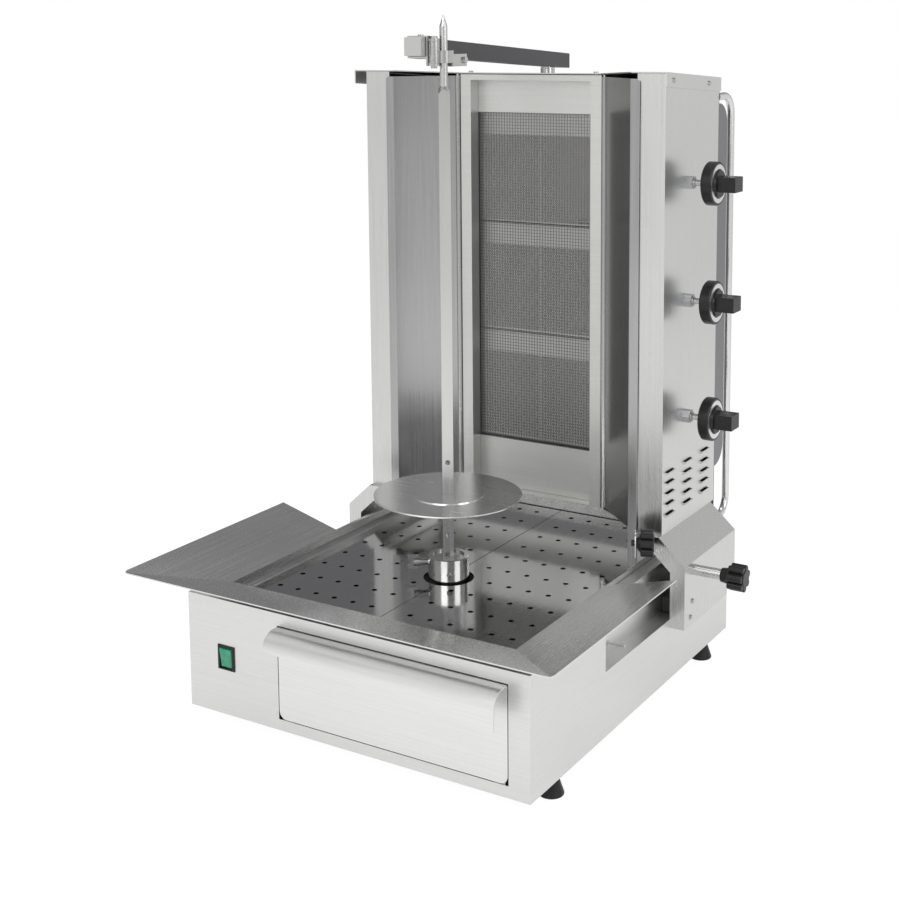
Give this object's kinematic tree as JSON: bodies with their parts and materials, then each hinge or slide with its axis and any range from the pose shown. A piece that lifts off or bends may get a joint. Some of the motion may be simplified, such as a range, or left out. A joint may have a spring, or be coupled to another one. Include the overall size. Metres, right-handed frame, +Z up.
{
  "type": "doner kebab grill",
  "caption": "Table-top gas doner kebab grill: drip base with a grease drawer, a turning spit and a sliding burner tower with hinged mirror wings.",
  "frame": {"origin": "on the standing plane, under the centre of the base casing", "axes": "+Z up, -Y towards the user at the drawer, +X to the user's right, where the gas knobs are"},
  "size_m": [0.6243, 0.6626, 0.8717],
  "materials": {
    "black_plastic": "satin",
    "brass": "satin",
    "bright_steel": "polished",
    "cast_alloy": "satin",
    "ceramic": "matt",
    "dark_steel": "satin",
    "galvanised": "dull",
    "green_lens": "gloss",
    "inner_steel": "dull",
    "mirror_steel": "polished",
    "motor_paint": "satin",
    "rubber": "matt",
    "satin_steel": "satin"
  },
  "bodies": {
    "chassis": {"base_shell": "satin_steel", "base_floor": "galvanised", "base_feet": "rubber", "splash_guard": "satin_steel", "grease_chute": "galvanised", "drawer_runners": "galvanised", "motor_bracket": "galvanised", "gear_motor": "motor_paint", "shaft_bearing": "brass", "switch_frame": "black_plastic", "cable_gland": "black_plastic", "rail_stops": "satin_steel", "drain_plate_left": "satin_steel", "drain_plate_right": "satin_steel"},
    "drawer": {"drawer_front": "satin_steel", "drawer_tray": "satin_steel"},
    "rocker": {"power_rocker": "green_lens"},
    "spit": {"drive_shaft": "bright_steel", "spit_collar": "bright_steel", "spit_bar": "bright_steel", "spit_disc": "bright_steel", "disc_pin": "bright_steel"},
    "wing_screw": {"wing_screw": "bright_steel"},
    "tower": {"carrier_arm_left": "satin_steel", "carrier_arm_right": "satin_steel", "glide_shoes": "black_plastic", "side_panel_left": "satin_steel", "side_panel_right": "satin_steel", "rear_cover": "dark_steel", "top_cover": "satin_steel", "burner_frame": "inner_steel", "tower_floor": "inner_steel", "blank_panels": "inner_steel", "burner_boxes": "inner_steel", "ceramic_tiles": "ceramic", "wire_guard": "inner_steel", "gas_manifold": "galvanised", "gas_valves": "inner_steel", "injector_pipes": "cast_alloy", "thermocouples": "inner_steel", "rear_handles": "satin_steel", "casing_screws": "bright_steel", "reflector_pins": "galvanised", "arm_socket": "galvanised"},
    "reflector_left": {"reflector_left": "mirror_steel"},
    "reflector_right": {"reflector_right": "mirror_steel"},
    "reflector_knob_right": {"reflector_knob_right": "black_plastic"},
    "clamp_knob": {"clamp_knob": "black_plastic"},
    "valve_stem_1": {"valve_stem_1": "bright_steel"},
    "valve_stem_2": {"valve_stem_2": "bright_steel"},
    "valve_stem_3": {"valve_stem_3": "bright_steel"},
    "gas_knob_1": {"gas_knob_1": "black_plastic"},
    "gas_knob_2": {"gas_knob_2": "black_plastic"},
    "gas_knob_3": {"gas_knob_3": "black_plastic"},
    "top_arm": {"top_arm": "dark_steel", "arm_post": "bright_steel"},
    "arm_head": {"arm_head": "satin_steel", "keeper_pin": "bright_steel"},
    "keeper": {"spit_keeper": "bright_steel"}
  },
  "joints": [
    {"name": "drawer_slide", "type": "slide", "parent": "chassis", "child": "drawer", "axis": [0, -1, 0], "range_m": [0, 0.14]},
    {"name": "rocker_tilt", "type": "hinge", "parent": "chassis", "child": "rocker", "pos_m": [-0.1813, -0.278, 0.0979], "axis": [1, 0, 0], "range_deg": [-16, 0]},
    {"name": "spit_spin", "type": "hinge", "parent": "chassis", "child": "spit", "pos_m": [0, -0.0605, 0.1934], "axis": [0, 0, 1], "continuous": true},
    {"name": "wing_screw_turn", "type": "hinge", "parent": "spit", "child": "wing_screw", "pos_m": [-0.02487, -0.07728, 0.1845], "axis": [-0.829, -0.5592, 0], "range_deg": [0, 360]},
    {"name": "tower_slide", "type": "slide", "parent": "chassis", "child": "tower", "axis": [0, 1, 0], "range_m": [-0.1, 0.01]},
    {"name": "clamp_turn", "type": "hinge", "parent": "tower", "child": "clamp_knob", "pos_m": [0.28, 0.118, 0.165], "axis": [1, 0, 0], "range_deg": [0, 360]},
    {"name": "reflector_left_swing", "type": "hinge", "parent": "tower", "child": "reflector_left", "pos_m": [-0.112, 0.154, 0.5], "axis": [0, 0, 1], "range_deg": [0, 25]},
    {"name": "reflector_right_swing", "type": "hinge", "parent": "tower", "child": "reflector_right", "pos_m": [0.112, 0.154, 0.5], "axis": [0, 0, 1], "range_deg": [-25, 0]},
    {"name": "reflector_knob_right_turn", "type": "hinge", "parent": "reflector_right", "child": "reflector_knob_right", "pos_m": [0.215, 0.06094, 0.209], "axis": [0.9135, 0.4067, 0], "range_deg": [0, 360]},
    {"name": "valve_push_1", "type": "slide", "parent": "tower", "child": "valve_stem_1", "axis": [-1, 0, 0], "range_m": [0, 0.004], "stiffness_N_per_m": 800, "springref_m": -0.004},
    {"name": "gas_knob_turn_1", "type": "hinge", "parent": "valve_stem_1", "child": "gas_knob_1", "pos_m": [0.258, 0.164, 0.3525], "axis": [1, 0, 0], "range_deg": [-180, 0]},
    {"name": "valve_push_2", "type": "slide", "parent": "tower", "child": "valve_stem_2", "axis": [-1, 0, 0], "range_m": [0, 0.004], "stiffness_N_per_m": 800, "springref_m": -0.004},
    {"name": "gas_knob_turn_2", "type": "hinge", "parent": "valve_stem_2", "child": "gas_knob_2", "pos_m": [0.258, 0.164, 0.505], "axis": [1, 0, 0], "range_deg": [-180, 0]},
    {"name": "valve_push_3", "type": "slide", "parent": "tower", "child": "valve_stem_3", "axis": [-1, 0, 0], "range_m": [0, 0.004], "stiffness_N_per_m": 800, "springref_m": -0.004},
    {"name": "gas_knob_turn_3", "type": "hinge", "parent": "valve_stem_3", "child": "gas_knob_3", "pos_m": [0.258, 0.164, 0.6575], "axis": [1, 0, 0], "range_deg": [-180, 0]},
    {"name": "arm_lift", "type": "slide", "parent": "tower", "child": "top_arm", "axis": [0, 0, 1], "range_m": [0, 0.065]},
    {"name": "arm_head_slide", "type": "slide", "parent": "top_arm", "child": "arm_head", "axis": [0, 0.9981, -0.0615], "range_m": [-0.01, 0.1]},
    {"name": "keeper_swing", "type": "hinge", "parent": "arm_head", "child": "keeper", "pos_m": [-0.0064, -0.0723, 0.826], "axis": [0, 0, 1], "range_deg": [-100, 0]}
  ],
  "couplings": [
    {"joint": "arm_head_slide", "follows": "tower_slide", "ratio": -1}
  ]
}
